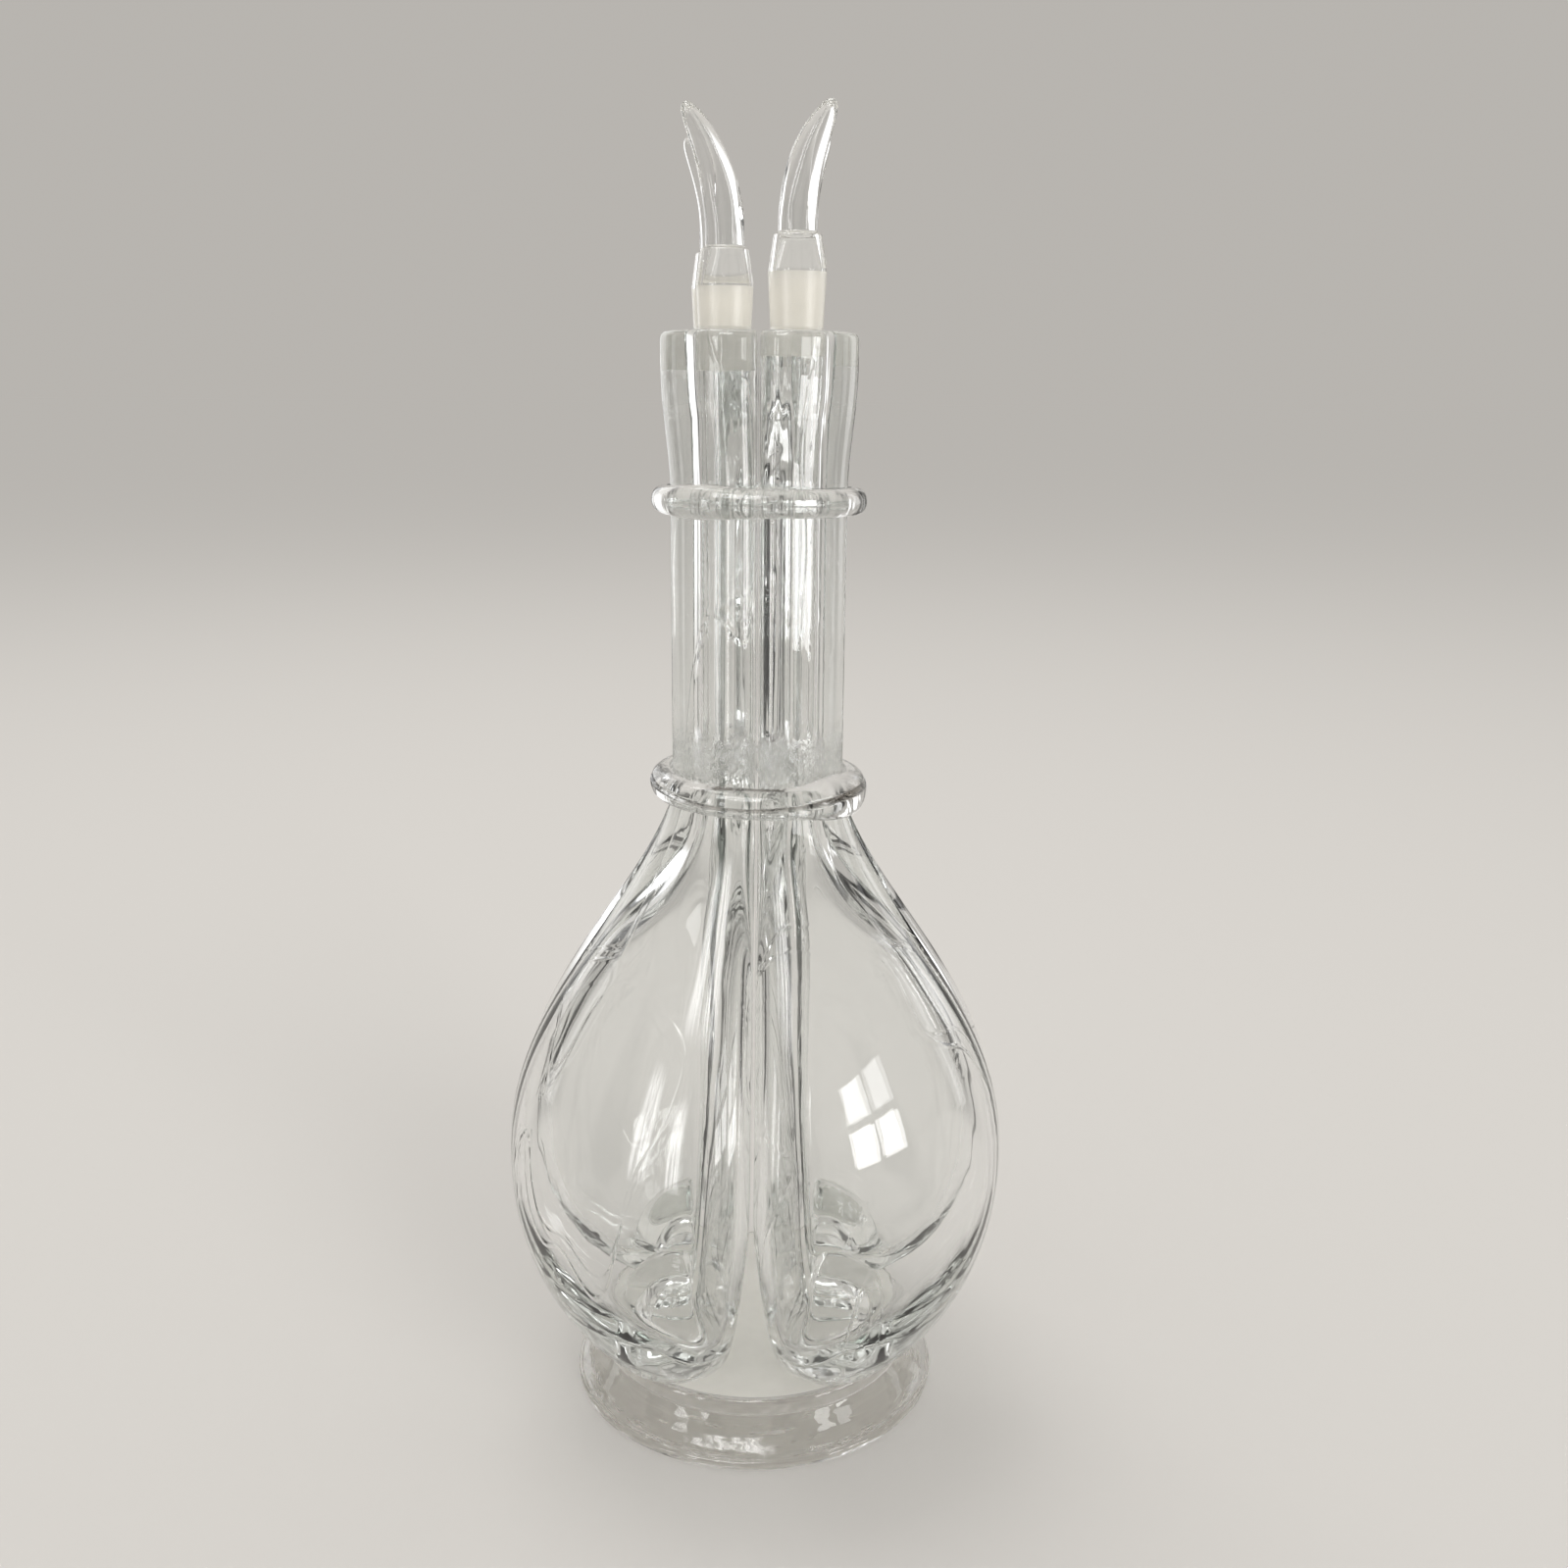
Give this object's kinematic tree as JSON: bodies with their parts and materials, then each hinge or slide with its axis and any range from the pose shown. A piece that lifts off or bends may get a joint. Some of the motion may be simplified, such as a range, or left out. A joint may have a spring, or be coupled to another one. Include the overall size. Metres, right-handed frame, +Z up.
{
  "type": "liqueur decanter",
  "caption": "Clear blown-glass liqueur decanter with separate chambers bundled on one foot, each with its own neck and ground horn-shaped stopper.",
  "frame": {"origin": "centre of the foot, on the plane that it stands on", "axes": "+Z up; the front, towards -Y, is the seam between the two front chambers, as in the picture; +X to the right seen from the front"},
  "size_m": [0.1192, 0.1192, 0.3014],
  "materials": {
    "clear_glass": "clear, fire-polished, faintly green at thick edges, with drawn streaks",
    "pad_glass": "pale and slightly matt on its upper face",
    "ground_glass": "ground to a fine matt cream white"
  },
  "bodies": {
    "decanter": {"foot": "clear_glass", "base_pad": "pad_glass", "lower_neck_ring": "clear_glass", "upper_neck_ring": "clear_glass", "chamber_back_right": "clear_glass", "chamber_back_left": "clear_glass", "chamber_front_left": "clear_glass", "chamber_front_right": "clear_glass"},
    "stopper_back_right": {"plug_back_right": "ground_glass", "finial_back_right": "clear_glass"},
    "stopper_back_left": {"plug_back_left": "ground_glass", "finial_back_left": "clear_glass"},
    "stopper_front_left": {"plug_front_left": "ground_glass", "finial_front_left": "clear_glass"},
    "stopper_front_right": {"plug_front_right": "ground_glass", "finial_front_right": "clear_glass"}
  },
  "joints": [
    {"name": "lift_back_right", "type": "slide", "parent": "decanter", "child": "stopper_back_right", "axis": [0, 0, 1], "range_m": [0, 0.04]},
    {"name": "lift_back_left", "type": "slide", "parent": "decanter", "child": "stopper_back_left", "axis": [0, 0, 1], "range_m": [0, 0.04]},
    {"name": "lift_front_left", "type": "slide", "parent": "decanter", "child": "stopper_front_left", "axis": [0, 0, 1], "range_m": [0, 0.04]},
    {"name": "lift_front_right", "type": "slide", "parent": "decanter", "child": "stopper_front_right", "axis": [0, 0, 1], "range_m": [0, 0.04]}
  ]
}
